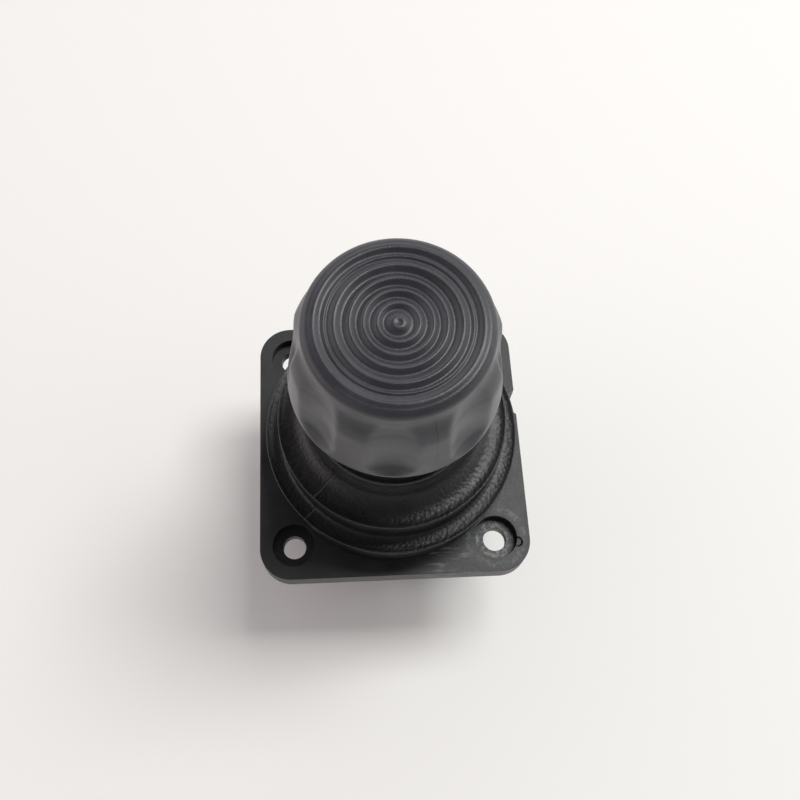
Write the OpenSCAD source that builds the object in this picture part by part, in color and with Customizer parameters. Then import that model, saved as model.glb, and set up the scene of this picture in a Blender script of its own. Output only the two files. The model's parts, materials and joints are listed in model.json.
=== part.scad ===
// Two-axis gimbal joystick with a twist knob, for mounting through a panel.
// Z = 0 is the underside of the mounting flange, +Z runs up the stick and the front is -Y.
// Lengths are in millimetres.

/* [Mounting flange] */
// Side of the square flange
flange_w = 44.5; // [44.3:0.1:46]
// Thickness of the flange
flange_t = 4; // [3.6:0.1:4.2]
// Corner radius of the flange
flange_r = 5.2; // [3.5:0.1:5.6]
// Distance between mounting holes
hole_pitch = 33.3; // [33:0.1:33.6]
// Diameter of the mounting holes
hole_d = 3.8; // [3.2:0.1:4]
// Diameter of the counterbores
cbore_d = 7; // [6:0.1:7.2]
// Depth of the counterbores
cbore_depth = 2; // [1:0.1:2.4]
// Depth of the locating notch
notch_d = 1.1; // [0.8:0.1:1.6]
// Distance of the notch behind the flange's middle
notch_y = 6.8; // [0:0.1:10]

/* [Gimbal housing] */
// Half width of the square cage, outside
cage_o = 13.5; // [13.3:0.05:14]
// Wall of the cage
cage_wall = 2.25; // [2:0.05:2.4]
// Depth of the tilt axes under the flange
axis_drop = 11; // [10.8:0.1:12]
// Length of the stick's tail below the tilt axes
tail_len = 11.4; // [11.2:0.1:12]
// Room between the tail and the bottom cover
floor_gap = 0.6; // [0.4:0.1:2]
// Thickness of the bottom cover
cover_t = 1.6; // [1.4:0.1:2.2]

/* [Stick] */
// Outside diameter of the stick tube
tube_d = 6; // [5.6:0.1:6.2]
// Bore of the stick tube
tube_bore = 3; // [2.4:0.1:3.2]
// Room between the tail and each side of the bail's slot
slot_gap = 0.4; // [0.35:0.05:0.6]
// Diameter of the trunnion shafts
shaft_d = 3; // [2.8:0.1:3]
// Diameter of the cross pin
pin_d = 2.5; // [2:0.1:2.6]
// Radial running clearance of shafts and pins
run_fit = 0.03; // [0.02:0.01:0.06]

/* [Boot] */
// Radius of the boot's lower lip
lip1_r = 20.5; // [20:0.1:20.8]
// Radius of the boot's upper lip
lip2_r = 18.1; // [17.8:0.1:18.4]
// Height of the lower lip above the flange
lip1_h = 8.4; // [8:0.1:9]
// Height of the upper lip above the flange
lip2_h = 14.8; // [14.4:0.1:15.2]
// Radius of the boot's top edge
lip3_r = 12.8; // [12.4:0.1:13.2]
// Height of the top edge above the flange
lip3_h = 20.2; // [20:0.1:20.6]

/* [Knob] */
// Height of the knob's rim above the flange
knob_h0 = 32.4; // [32.2:0.1:32.6]
// Height of the knob
knob_h = 17.6; // [17.4:0.1:19]
// Radius of the knob at its rim
knob_rim_r = 15.3; // [14.8:0.1:16]
// Radius of the knob at its top edge
knob_top_r = 12.8; // [12.6:0.1:13.4]
// Wall of the grip round the core
grip_wall = 1.6; // [1.3:0.1:1.8]
// Number of finger dimples
dimples = 8; // [6:1:9]
// Radius of the bar that forms a dimple
dimple_bar = 7; // [6:0.1:8]

/* [Springs] */
// Wire diameter of the return springs
wire_d = 0.8; // [0.6:0.05:0.9]
// Mean radius of the tilt return springs
coil_r = 4; // [3.8:0.05:4.3]

/* [Hidden] */

$fn = 64;
spring_sides = [0, -90];
sensor_sides = [180, 90];
eps = 0.01;
az = -axis_drop;
shaft_r = shaft_d / 2;
tube_r = tube_d / 2;
pin_r = pin_d / 2;
wire_r = wire_d / 2;
shank_gap = 0.03;
m2_r = 1;
m16_r = 0.8;

// Cage and its corner posts
cage_i = cage_o - cage_wall;
cage_h = axis_drop + tail_len + floor_gap;
post_w = 4.6;
post_c = cage_o - post_w / 2;
rest_z = -cage_h - cover_t;

// Bushes of the tilt shafts
bush_r = shaft_r + 1;
collar_r = bush_r + 0.9;
collar_t = 0.6;
end_play = 0.15;

// Spring boss, coil, arm and rib, outwards from the cage wall
boss_r = coil_r - wire_r - 0.4;
coil_lead = wire_d + 0.1;
coil_turns = 2.5;
coil_x = cage_o + wire_r + 0.15;
boss_x = coil_x + coil_turns * coil_lead + wire_r + 0.15;
arm_x = boss_x + 0.2;
arm_t = 1.2;
rib_w = coil_r - wire_r - 0.05;
rib_in = 6;
rib_out = 7.6;
tab_in = norm([rib_w, rib_out]) + 0.4;
tab_out = tab_in + 1.3;
leg_len = tab_out + 0.7;

// Sensor: plate, can, wiper and terminals, outwards from the cage wall
plate_t = 1.8;
plate_w = 17;
sensor_x = cage_o + plate_t;
can_r = 7.6;
can_t = 5.4;
can_wall = 0.8;
can_in = can_r - 0.9;
fix_c = 6.6;
fix_head_r = 1.8;
lug_pitch = 2.6;
lug_w = 1.2;
lug_t = 0.5;
lug_x = sensor_x + 3.5;

// Gimbal ring and bail
bail_ro = cage_i - 0.85;
bail_ri = bail_ro - 1.5;
bail_w = 3.2;
ring_y = bail_ri - 1.9;
ring_x = cage_i - 1.75;
ring_h = 2.4;
ring_end = cage_i - collar_t - end_play;
ring_win_x = ring_x - 2.6;
ring_win_y = ring_y - 2.1;

// Hub and tail of the stick
hub_x = 4.2;
hub_y = ring_win_y - 0.3;
hub_z = 4;
tail_r = 1.7;
socket_z = 5;
hub_top = 10;
lead_z = 7.2;
lead_r = 1.1;

// Boot foot and its ring
z0 = flange_t;
foot_in = lip1_r - 5.5;
foot_t = 1;
clamp_r = (foot_in + lip1_r - 2) / 2 - 0.35;
neck_r = tube_r + 0.1;
neck_gap = 4;
neck_k = (knob_h0 - neck_gap - lip3_h) / 8.2;

// Knob, from its rim up
kz = flange_t + knob_h0;
core_r = knob_top_r - grip_wall;
core_wall = 1.2;
base_z = kz + 0.6;
base_t = 1.8;
core_z = base_z + base_t;
core_top = kz + knob_h - 2.6;
roof_t = 1.8;
plate_c = core_r - 1.9;
plate_a = [90, 210, 330];
carrier_r = tube_r + 1;
carrier_z = core_z + 0.2;
carrier_t = 1;
disc_r = core_r - 4;
lobe_r = core_r - 2.5;
post_out = core_r - 2.8;
post_in = post_out - 0.9;
lug_in = post_out + 0.35;
twist_pot_r = core_r - 6;
twist_pot_h = 6;
twist_z = carrier_z + carrier_t;
twist_coil_r = core_r - 4.6;
leg_x = 1.4;
leg_out = core_r - core_wall - wire_r - 0.1;
post_w2 = leg_x - wire_r - 0.05;
hub2_z = twist_z + twist_pot_h + 0.3;

c_housing = [0.17, 0.17, 0.19];
c_rubber = [0.09, 0.09, 0.1];
c_knob = [0.2, 0.2, 0.22];
c_steel = [0.72, 0.73, 0.75];
c_brass = [0.78, 0.62, 0.32];
c_black = [0.12, 0.12, 0.13];
c_glass = [0.28, 0.3, 0.3];
c_white = [0.82, 0.82, 0.78];

// ---- shared shapes ----

// Rounded rectangle made of squares and circles
module rsq(w, d, r) {
    square([w - 2 * r, d], center = true);
    square([w, d - 2 * r], center = true);
    for (x = [-1, 1], y = [-1, 1])
        translate([x * (w / 2 - r), y * (d / 2 - r)]) circle(r, $fn = 40);
}

// Places a thing written along +X from the gimbal centre, turned about Z by a
module side(a) {
    translate([0, 0, az]) rotate([0, 0, a]) children();
}

// Cylinder along X from x0 to x1
module xcyl(r, x0, x1) {
    translate([x0, 0, 0]) rotate([0, 90, 0]) cylinder(r = r, h = x1 - x0);
}

// Shaft of round section with one flat near its end, along X
module flat_shaft(r, x0, x1, flat_from) {
    difference() {
        xcyl(r, x0, x1);
        translate([flat_from, -r - 1, r - 0.4]) cube([x1 - flat_from + 1, 2 * r + 2, 2]);
    }
}

// Bore that fits the flatted shaft, along X
module flat_bore(r, x0, x1) {
    intersection() {
        xcyl(r, x0, x1);
        translate([x0, -r - 1, -r - 1]) cube([x1 - x0, 2 * r + 2, 2 * r + 1 - 0.4]);
    }
}

// Pan-head screw: head from z = 0 up, shank down
module pan_screw(d, len, head_r, head_h) {
    difference() {
        union() {
            cylinder(r = head_r, h = head_h - 0.3, $fn = 32);
            translate([0, 0, head_h - 0.3 - eps])
                cylinder(r1 = head_r, r2 = head_r - 0.35, h = 0.3 + eps, $fn = 32);
            translate([0, 0, -len]) cylinder(d = d, h = len + eps, $fn = 32);
        }
        for (a = [0, 90])
            translate([0, 0, head_h]) rotate([0, 0, a])
                cube([head_r * 1.15, head_r * 0.28, head_h * 0.9], center = true);
    }
}

// Flat-head screw: top of the head at z = 0, all of it below
module flat_screw(d, len, head_r) {
    difference() {
        union() {
            translate([0, 0, -(head_r - d / 2)])
                cylinder(r1 = d / 2, r2 = head_r, h = head_r - d / 2, $fn = 32);
            translate([0, 0, -len]) cylinder(d = d, h = len - 0.2, $fn = 32);
        }
        for (a = [0, 90])
            rotate([0, 0, a]) cube([head_r * 1.2, head_r * 0.26, 0.9], center = true);
    }
}

// Countersunk hole for the flat-head screw, mouth at z = 0
module flat_hole(d, depth, head_r) {
    translate([0, 0, -(head_r - d / 2)])
        cylinder(r1 = d / 2, r2 = head_r + eps, h = head_r - d / 2 + eps, $fn = 32);
    translate([0, 0, -depth]) cylinder(d = d + 2 * shank_gap, h = depth, $fn = 32);
}

// Round wire swept along points; axis is never parallel to the wire
function unit(v) = v / norm(v);
function tangent(p, i) = unit(p[min(i + 1, len(p) - 1)] - p[max(i - 1, 0)]);
function wire_ring(p, i, axis, r, n) =
    let (t = tangent(p, i), a = unit(cross(t, axis)), b = cross(t, a))
    [for (k = [0:n - 1]) p[i] + r * (cos(360 * k / n) * a + sin(360 * k / n) * b)];
module wire(p, axis, r, n = 8) {
    m = len(p);
    pts = [for (i = [0:m - 1]) each wire_ring(p, i, axis, r, n)];
    sides = [for (i = [0:m - 2], k = [0:n - 1])
        [i * n + k, (i + 1) * n + k, (i + 1) * n + (k + 1) % n, i * n + (k + 1) % n]];
    cap0 = [for (k = [0:n - 1]) k];
    cap1 = [for (k = [n - 1:-1:0]) (m - 1) * n + k];
    polyhedron(concat(pts, [p[0], p[m - 1]]), concat(tri(sides), fan(cap0, m * n),
        fan(cap1, m * n + 1)));
}
function tri(q) = [for (f = q) each [[f[0], f[1], f[2]], [f[0], f[2], f[3]]]];
function fan(c, hub) = [for (k = [0:len(c) - 1]) [c[k], c[(k + 1) % len(c)], hub]];

// ---- fixed parts ----

module top_housing() {
    color(c_housing) difference() {
        union() {
            linear_extrude(flange_t) rsq(flange_w, flange_w, flange_r);
            translate([0, 0, -cage_h]) linear_extrude(cage_h + 1)
                rsq(2 * cage_o, 2 * cage_o, 2);
            // Spring bosses and ribs on the +X and -Y walls
            for (a = spring_sides) side(a) {
                xcyl(boss_r, cage_o - 1, boss_x);
                translate([cage_o - 1, -rib_w, -rib_out])
                    cube([coil_x + coil_turns * coil_lead + wire_r - cage_o + 1, 2 * rib_w,
                        rib_out - rib_in]);
            }
        }
        // Square well for the gimbal, with a post left in each corner
        translate([0, 0, -cage_h - 1]) linear_extrude(cage_h + flange_t + 2) difference() {
            rsq(2 * cage_i, 2 * cage_i, 1.5);
            for (x = [-1, 1], y = [-1, 1])
                translate([x * post_c, y * post_c]) square(post_w, center = true);
        }
        // Corner posts stop below the flange
        translate([0, 0, az + 4]) linear_extrude(axis_drop + flange_t)
            rsq(2 * cage_i, 2 * cage_i, 1.5);
        // Shaft bores
        for (a = [0:90:270]) side(a) xcyl(bush_r, cage_i - 2, boss_x + 1);
        // Panel holes with counterbores
        for (x = [-1, 1], y = [-1, 1]) translate([x, y, 0] * hole_pitch / 2) {
            translate([0, 0, -1]) cylinder(d = hole_d, h = flange_t + 2);
            translate([0, 0, flange_t - cbore_depth]) cylinder(d = cbore_d, h = cbore_depth + 1);
        }
        // Holes for the boot ring screws
        for (a = [45:90:315]) rotate([0, 0, a]) translate([clamp_r, 0, z0 - 3])
            cylinder(r = m2_r, h = 4, $fn = 32);
        // Holes for the cover screws
        for (x = [-1, 1], y = [-1, 1]) translate([x * post_c, y * post_c, -cage_h - 1])
            cylinder(r = m2_r, h = 7, $fn = 32);
        // Holes for the sensor screws
        for (a = sensor_sides, s = [-1, 1]) side(a) translate([0, s * fix_c, s * fix_c])
            xcyl(m2_r, cage_i + 0.35, cage_o + 1, $fn = 32);
        // Locating notch in the right edge
        translate([flange_w / 2, notch_y, -1]) linear_extrude(flange_t + 2)
            polygon([[1, -3], [1, 3], [0, 2.2], [-notch_d, 1.6], [-notch_d, -1.6], [0, -2.2]]);
    }
}

module boot_retaining_ring() {
    color(c_steel) difference() {
        translate([0, 0, z0 + foot_t]) cylinder(r = lip1_r - 2.3, h = 1.2, $fn = 96);
        cylinder(r = foot_in - 0.4, h = z0 + 4, $fn = 96);
        for (a = [45:90:315]) rotate([0, 0, a]) translate([clamp_r, 0, 0])
            cylinder(r = m2_r + shank_gap, h = z0 + 4, $fn = 32);
    }
}

module boot_ring_screws() {
    color(c_steel) for (a = [45:90:315]) rotate([0, 0, a])
        translate([clamp_r, 0, z0 + foot_t + 1.2])
            pan_screw(2 * (m2_r - shank_gap), foot_t + 4, 1.5, 1.1);
}

// Outside and inside of the boot as [radius, height above the flange]
function boot_out() = [
    [lip1_r - 0.8, 0], [lip1_r - 0.75, lip1_h - 3], [lip1_r - 0.4, lip1_h - 1.2],
    [lip1_r - 0.08, lip1_h - 0.3], [lip1_r, lip1_h], [lip1_r - 0.1, lip1_h + 0.1],
    [lip1_r - 0.4, lip1_h], [lip1_r - 1.2, lip1_h - 0.2], [lip1_r - 2.2, lip1_h - 0.2],
    [lip2_r - 0.1, lip1_h + 0.1], [lip2_r - 0.42, lip1_h + 0.7], [lip2_r - 0.5, lip1_h + 1.6],
    [lip2_r - 0.5, lip2_h - 2.4], [lip2_r - 0.35, lip2_h - 1.2], [lip2_r - 0.06, lip2_h - 0.3],
    [lip2_r, lip2_h - 0.02], [lip2_r - 0.1, lip2_h + 0.08], [lip2_r - 0.4, lip2_h],
    [lip2_r - 1.2, lip2_h - 0.15], [lip2_r - 2.3, lip2_h], [lip3_r + 2.2, lip2_h + 0.25],
    [lip3_r + 1.4, lip2_h + 0.8], [lip3_r + 0.8, lip2_h + 1.7], [lip3_r + 0.4, lip2_h + 3],
    [lip3_r + 0.15, lip3_h - 0.4], [lip3_r, lip3_h], [lip3_r - 0.2, lip3_h + 0.12],
    [lip3_r - 0.7, lip3_h + 0.05], [lip3_r - 2.3, lip3_h + 0.8 * neck_k],
    [8, lip3_h + 3.3 * neck_k],
    [6, lip3_h + 5.3 * neck_k], [neck_r + 1.6, lip3_h + 6.8 * neck_k],
    [neck_r + 1.2, lip3_h + 8.2 * neck_k]];
function boot_in() = [
    [neck_r, lip3_h + 8.2 * neck_k], [neck_r, lip3_h + 7.4 * neck_k],
    [neck_r + 0.6, lip3_h + 6.3 * neck_k],
    [4.9, lip3_h + 4.7 * neck_k], [6.9, lip3_h + 2.7 * neck_k], [lip3_r - 3.2, lip3_h + 0.1],
    [lip3_r - 1.4, lip3_h - 1], [lip3_r - 0.9, lip3_h - 2.2], [lip3_r - 0.6, lip2_h + 1],
    [lip3_r + 0.2, lip2_h - 0.5], [lip3_r + 1.4, lip2_h - 1.1], [lip2_r - 1.7, lip2_h - 1.5],
    [lip2_r - 1.7, lip1_h + 0.2], [lip2_r - 1.4, lip1_h - 0.8], [lip1_r - 2, lip1_h - 1.4],
    [lip1_r - 2, foot_t], [foot_in, foot_t], [foot_in, 0]];

module rubber_boot() {
    color(c_rubber) translate([0, 0, z0]) difference() {
        rotate_extrude($fn = 96) polygon(concat(boot_out(), boot_in()));
        for (a = [45:90:315]) rotate([0, 0, a]) translate([clamp_r, 0, -1])
            cylinder(r = m2_r + 0.2, h = foot_t + 1.5, $fn = 32);
    }
}

module bottom_cover() {
    color(c_housing) difference() {
        translate([0, 0, rest_z]) linear_extrude(cover_t) rsq(2 * cage_o, 2 * cage_o, 2);
        for (x = [-1, 1], y = [-1, 1]) translate([x * post_c, y * post_c, rest_z])
            mirror([0, 0, 1]) flat_hole(2 * (m2_r - shank_gap), cover_t + 1, 1.9);
        // Outlet for the leads
        translate([-6, cage_o, rest_z - 1]) cylinder(r = 2, h = cover_t + 2);
    }
}

module cover_screws() {
    color(c_steel) for (x = [-1, 1], y = [-1, 1]) translate([x * post_c, y * post_c, rest_z])
        mirror([0, 0, 1]) flat_screw(2 * (m2_r - shank_gap), cover_t + 5.4, 1.9);
}

module bush(x1) {
    difference() {
        union() {
            xcyl(collar_r, cage_i - collar_t, cage_i);
            xcyl(bush_r, cage_i - collar_t, x1);
        }
        xcyl(shaft_r + run_fit, cage_i - 2, x1 + 1);
    }
}

module x_bushes() {
    color(c_brass) {
        side(0) bush(boss_x);
        side(180) bush(sensor_x);
    }
}

module y_bushes() {
    color(c_brass) {
        side(-90) bush(boss_x);
        side(90) bush(sensor_x);
    }
}

module pot_plate() {
    difference() {
        translate([cage_o, 0, 0]) rotate([90, 0, 90]) linear_extrude(plate_t)
            rsq(plate_w, plate_w, 2);
        xcyl(bush_r, cage_o - 1, sensor_x + 1);
        for (s = [-1, 1]) translate([0, s * fix_c, s * fix_c])
            xcyl(m2_r + 0.05, cage_o - 1, sensor_x + 1, $fn = 32);
    }
}

module pot_can() {
    difference() {
        union() {
            xcyl(can_r, sensor_x, sensor_x + can_t - 0.5);
            translate([sensor_x + can_t - 0.5 - eps, 0, 0]) rotate([0, 90, 0])
                cylinder(r1 = can_r, r2 = can_r - 0.5, h = 0.5 + eps);
        }
        xcyl(can_in, sensor_x - 1, sensor_x + can_t - can_wall);
        for (y = [-1:1]) translate([lug_x - 0.2, y * lug_pitch - lug_w / 2 - 0.15, -can_r - 1])
            cube([lug_t + 0.4, lug_w + 0.3, 4]);
        // Relief round the two fixing screws
        for (s = [-1, 1]) translate([0, s * fix_c, s * fix_c])
            xcyl(fix_head_r + 0.35, sensor_x - 1, sensor_x + can_t + 1, $fn = 32);
    }
}

module pot_element() {
    difference() {
        xcyl(can_in - 0.1, lug_x + lug_t, sensor_x + can_t - can_wall);
        xcyl(shaft_r + 0.9, sensor_x, sensor_x + can_t);
    }
}

module pot_terminals() {
    for (y = [-1:1]) translate([lug_x, y * lug_pitch - lug_w / 2, -axis_drop - 1.3])
        difference() {
            cube([lug_t, lug_w, axis_drop - 3.5]);
            translate([-1, lug_w / 2, 1.1]) rotate([0, 90, 0])
                cylinder(d = 0.6, h = 3, $fn = 16);
        }
}

module pot_x_plate() { color(c_black) side(180) pot_plate(); }
module pot_x_can() { color(c_glass) side(180) pot_can(); }
module pot_x_element() { color(c_white) side(180) pot_element(); }
module pot_x_terminals() { color(c_brass) side(180) pot_terminals(); }
module pot_y_plate() { color(c_black) side(90) pot_plate(); }
module pot_y_can() { color(c_glass) side(90) pot_can(); }
module pot_y_element() { color(c_white) side(90) pot_element(); }
module pot_y_terminals() { color(c_brass) side(90) pot_terminals(); }

module pot_screws() {
    color(c_steel) for (a = sensor_sides, s = [-1, 1]) side(a)
        translate([sensor_x, s * fix_c, s * fix_c]) rotate([0, 90, 0])
            pan_screw(2 * (m2_r - shank_gap), plate_t + 1.7, fix_head_r, 1.1);
}

// Coil round the boss with both legs hanging down, one on each side of the rib
module return_spring() {
    turn = 20;
    n = coil_turns * 360 / turn;
    coil = [for (i = [0:n]) [coil_x + coil_lead * i * turn / 360,
        coil_r * cos(180 - i * turn), coil_r * sin(180 - i * turn)]];
    x1 = coil_x + coil_lead * coil_turns;
    wire(concat([[coil_x, -coil_r, -leg_len], [coil_x, -coil_r, -1]], coil,
        [[x1, coil_r, -1], [x1, coil_r, -leg_len]]), [1, 0, 0], wire_r);
}

module x_return_spring() { color(c_steel) side(0) return_spring(); }
module y_return_spring() { color(c_steel) side(-90) return_spring(); }

// ---- gimbal that turns about X ----

module gimbal_ring() {
    color(c_steel) side(0) difference() {
        union() {
            translate([0, 0, -ring_h]) linear_extrude(2 * ring_h)
                rsq(2 * ring_x, 2 * ring_y, 2);
            xcyl(ring_h, -ring_end, ring_end);
        }
        translate([0, 0, -5]) linear_extrude(10) rsq(2 * ring_win_x, 2 * ring_win_y, 1.2);
        xcyl(shaft_r, -cage_o, cage_o);
        rotate([0, 0, 90]) xcyl(pin_r + run_fit, -cage_o, cage_o);
    }
}

// Shaft that carries the sensor wiper
module shaft_pot(x_in) {
    flat_shaft(shaft_r, x_in, sensor_x + 3.4, sensor_x + 0.4);
}

// Shaft that carries the spring arm, with a tapped end
module shaft_spring(x_in) {
    difference() {
        flat_shaft(shaft_r, x_in, arm_x + arm_t - 0.1, arm_x - 0.1);
        xcyl(m16_r, arm_x - 3, arm_x + 3, $fn = 32);
    }
}

// Arm with a bent tab that lies between the spring's legs
module spring_arm() {
    difference() {
        union() {
            xcyl(rib_w, arm_x, arm_x + arm_t);
            translate([arm_x, -rib_w, -tab_out]) cube([arm_t, 2 * rib_w, tab_out]);
            translate([coil_x - wire_r, -rib_w, -tab_out])
                cube([arm_x - coil_x + wire_r + eps, 2 * rib_w, tab_out - tab_in]);
        }
        flat_bore(shaft_r, arm_x - 1, arm_x + arm_t + 1);
    }
}

module arm_screw() {
    translate([arm_x + arm_t, 0, 0]) rotate([0, 90, 0])
        pan_screw(2 * m16_r - shank_gap, 3, 2.2, 1);
}

// Wiper disc of a sensor
module pot_rotor() {
    difference() {
        union() {
            xcyl(can_in - 1.1, sensor_x + 1.2, sensor_x + 2.4);
            xcyl(shaft_r + 1.1, sensor_x + 0.6, sensor_x + 3.2);
        }
        flat_bore(shaft_r, sensor_x - 1, sensor_x + can_t);
    }
}

module x_shaft_pot() { color(c_steel) side(180) shaft_pot(ring_win_x + 0.2); }
module x_shaft_spring() { color(c_steel) side(0) shaft_spring(ring_win_x + 0.2); }
module x_spring_arm() { color(c_steel) side(0) spring_arm(); }
module x_arm_screw() { color(c_steel) side(0) arm_screw(); }
module pot_x_rotor() { color(c_white) side(180) pot_rotor(); }

// ---- slotted bail that turns about Y ----

module bail_ends() {
    for (a = [90, -90]) rotate([0, 0, a]) xcyl(bail_w, bail_ri - 0.4, ring_end);
}

module y_bail() {
    color(c_steel) side(0) difference() {
        union() {
            difference() {
                xcyl(bail_ro, -bail_w, bail_w);
                translate([-5, -15, 0]) cube([10, 30, 15]);
            }
            bail_ends();
        }
        difference() {
            xcyl(bail_ri, -5, 5);
            bail_ends();
        }
        // Slot for the stick's tail
        translate([-tail_r - slot_gap, -6.4, -15]) cube([2 * (tail_r + slot_gap), 12.8, 12]);
        rotate([0, 0, 90]) xcyl(shaft_r, -cage_o, cage_o);
    }
}

module y_shaft_pot() { color(c_steel) side(90) shaft_pot(bail_ri - 0.4); }
module y_shaft_spring() { color(c_steel) side(-90) shaft_spring(bail_ri - 0.4); }
module y_spring_arm() { color(c_steel) side(-90) spring_arm(); }
module y_arm_screw() { color(c_steel) side(-90) arm_screw(); }
module pot_y_rotor() { color(c_white) side(90) pot_rotor(); }

// ---- stick ----

module lever_hub() {
    color(c_steel) side(0) difference() {
        union() {
            translate([0, 0, -hub_z]) linear_extrude(2 * hub_z) rsq(2 * hub_x, 2 * hub_y, 1);
            cylinder(r = tube_r + 1.3, h = hub_top);
            translate([0, 0, tail_r - tail_len]) cylinder(r = tail_r, h = tail_len - tail_r - 2);
            translate([0, 0, tail_r - tail_len]) sphere(r = tail_r);
        }
        translate([0, 0, socket_z]) cylinder(r = tube_r, h = hub_top);
        rotate([0, 0, 90]) xcyl(pin_r, -cage_i, cage_i);
        // Outlet for the leads out of the tube
        translate([0, 0, lead_z]) xcyl(lead_r, -cage_i, cage_i);
    }
}

module lever_tube() {
    color(c_steel) difference() {
        translate([0, 0, az + socket_z]) cylinder(r = tube_r, h = carrier_z - 1 - az - socket_z);
        translate([0, 0, az]) cylinder(d = tube_bore, h = carrier_z - az);
        translate([0, 0, az + lead_z]) xcyl(lead_r, -cage_i, cage_i);
        // Dimple for the set screw
        translate([0, -tube_r, kz - 1.6]) rotate([90, 0, 0])
            cylinder(d = 1.4, h = 0.8, center = true, $fn = 32);
    }
}

module cross_pin() {
    color(c_steel) side(90) xcyl(pin_r, 0.1 - ring_y, ring_y - 0.1);
}

// Bush on the stick's top end that the knob turns on
module knob_carrier() {
    color(c_brass) difference() {
        union() {
            translate([0, 0, kz - 3.2]) cylinder(r = carrier_r, h = carrier_z - kz + 3.2);
            translate([0, 0, carrier_z]) cylinder(r = disc_r, h = carrier_t);
            // Lobe that stops the twist, with the spring post on it
            translate([0, 0, carrier_z]) linear_extrude(carrier_t) intersection() {
                circle(lobe_r);
                polygon([[0, 0], [-12 * tan(20), -12], [12 * tan(20), -12]]);
            }
            translate([-post_w2, -post_out, twist_z - 0.1])
                cube([2 * post_w2, post_out - post_in, 4.3]);
        }
        translate([0, 0, kz - 4]) cylinder(r = tube_r, h = carrier_z - 1 - kz + 4);
        translate([0, 0, kz]) cylinder(d = tube_bore, h = 6);
        translate([0, -2, kz - 1.6]) rotate([90, 0, 0]) cylinder(r = m2_r, h = 4, $fn = 32);
    }
}

module carrier_set_screw() {
    color(c_steel) translate([0, 0, kz - 1.6]) rotate([90, 0, 0]) difference() {
        union() {
            translate([0, 0, tube_r]) cylinder(r = m2_r - shank_gap / 2, h = 0.9, $fn = 32);
            translate([0, 0, tube_r - 0.35]) cylinder(d = 1.3, h = 0.5, $fn = 32);
        }
        translate([0, 0, tube_r + 0.5]) cylinder(d = 0.9, h = 1, $fn = 6);
    }
}

module twist_pot() {
    color(c_glass) translate([0, 0, twist_z]) difference() {
        cylinder(r = twist_pot_r, h = twist_pot_h);
        translate([0, 0, 1]) cylinder(r = twist_pot_r - 0.8, h = 3.6);
        cylinder(r = shaft_r + run_fit, h = twist_pot_h + 1);
    }
}

// Coil round the twist sensor with two radial legs at the front
module twist_return_spring() {
    r = twist_coil_r;
    z1 = twist_z + wire_r + 0.9;
    lead = wire_d + 0.2;
    a0 = -90 - asin(leg_x / r);
    total = 720 + 2 * asin(leg_x / r);
    n = 42;
    coil = [for (i = [1:n - 1]) [r * cos(a0 + total * i / n), r * sin(a0 + total * i / n),
        z1 + lead * total / 360 * i / n]];
    z2 = z1 + lead * total / 360;
    color(c_steel) wire(concat(
        [[-leg_x, -leg_out, z1], [-leg_x, -r - 0.8, z1], [0.1 - leg_x, -r - 0.25, z1]], coil,
        [[leg_x - 0.1, -r - 0.25, z2], [leg_x, -r - 0.8, z2], [leg_x, -leg_out, z2]]),
        [0, 0, 1], wire_r);
}

// ---- knob ----

module knob_core() {
    color(c_black) difference() {
        union() {
            difference() {
                translate([0, 0, core_z]) cylinder(r = core_r, h = core_top - core_z, $fn = 96);
                translate([0, 0, core_z - 1])
                    cylinder(r = core_r - core_wall, h = core_top - roof_t - core_z + 1, $fn = 96);
            }
            translate([0, 0, hub2_z]) cylinder(r = shaft_r + 2, h = core_top - roof_t - hub2_z + eps);
            // Bosses for the base plate screws, which also end the twist
            for (a = plate_a) rotate([0, 0, a]) translate([plate_c, 0, core_z])
                cylinder(r = 1.4, h = 5.4);
            // Lug between the spring's legs
            translate([-post_w2, 0.5 - core_r, twist_z + 0.6])
                cube([2 * post_w2, core_r - 0.5 - lug_in, core_top - roof_t - twist_z - 0.6 + eps]);
        }
        // Flatted socket for the sensor's shaft
        translate([0, 0, hub2_z - 1]) intersection() {
            cylinder(r = shaft_r, h = core_top - roof_t - hub2_z + 1.3);
            translate([-3, -3, 0]) cube([6, 3 + shaft_r - 0.4, 12]);
        }
        translate([0, 0, hub2_z]) cylinder(r = m16_r + 0.05, h = 12, $fn = 32);
        translate([0, 0, core_top - 1.1]) cylinder(r = 2.6, h = 2);
        for (a = plate_a) rotate([0, 0, a]) translate([plate_c, 0, core_z - 1])
            cylinder(r = m16_r, h = 5, $fn = 32);
    }
}

module knob_base_plate() {
    color(c_black) difference() {
        translate([0, 0, base_z]) cylinder(r = core_r, h = base_t, $fn = 96);
        translate([0, 0, base_z - 1]) cylinder(r = carrier_r + 0.05, h = base_t + 2);
        for (a = plate_a) rotate([0, 0, a]) translate([plate_c, 0, base_z]) mirror([0, 0, 1])
            flat_hole(2 * (m16_r - shank_gap), base_t + 1, 1.5);
    }
}

module knob_plate_screws() {
    color(c_steel) for (a = plate_a) rotate([0, 0, a]) translate([plate_c, 0, base_z])
        mirror([0, 0, 1]) flat_screw(2 * (m16_r - shank_gap), base_t + 3.8, 1.5);
}

module twist_pot_shaft() {
    end = core_top - roof_t + 0.2;
    color(c_steel) difference() {
        union() {
            translate([0, 0, twist_z + 2.4]) cylinder(r = twist_pot_r - 1.3, h = 1);
            translate([0, 0, twist_z + 2.4]) cylinder(r = shaft_r, h = end - twist_z - 2.4);
        }
        translate([-3, shaft_r - 0.4, hub2_z]) cube([6, 2, 8]);
        translate([0, 0, hub2_z]) cylinder(r = m16_r, h = 8, $fn = 32);
    }
}

module knob_screw() {
    color(c_steel) translate([0, 0, core_top - 1.1])
        pan_screw(2 * m16_r - shank_gap, 3.4, 2.3, 1);
}

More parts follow.
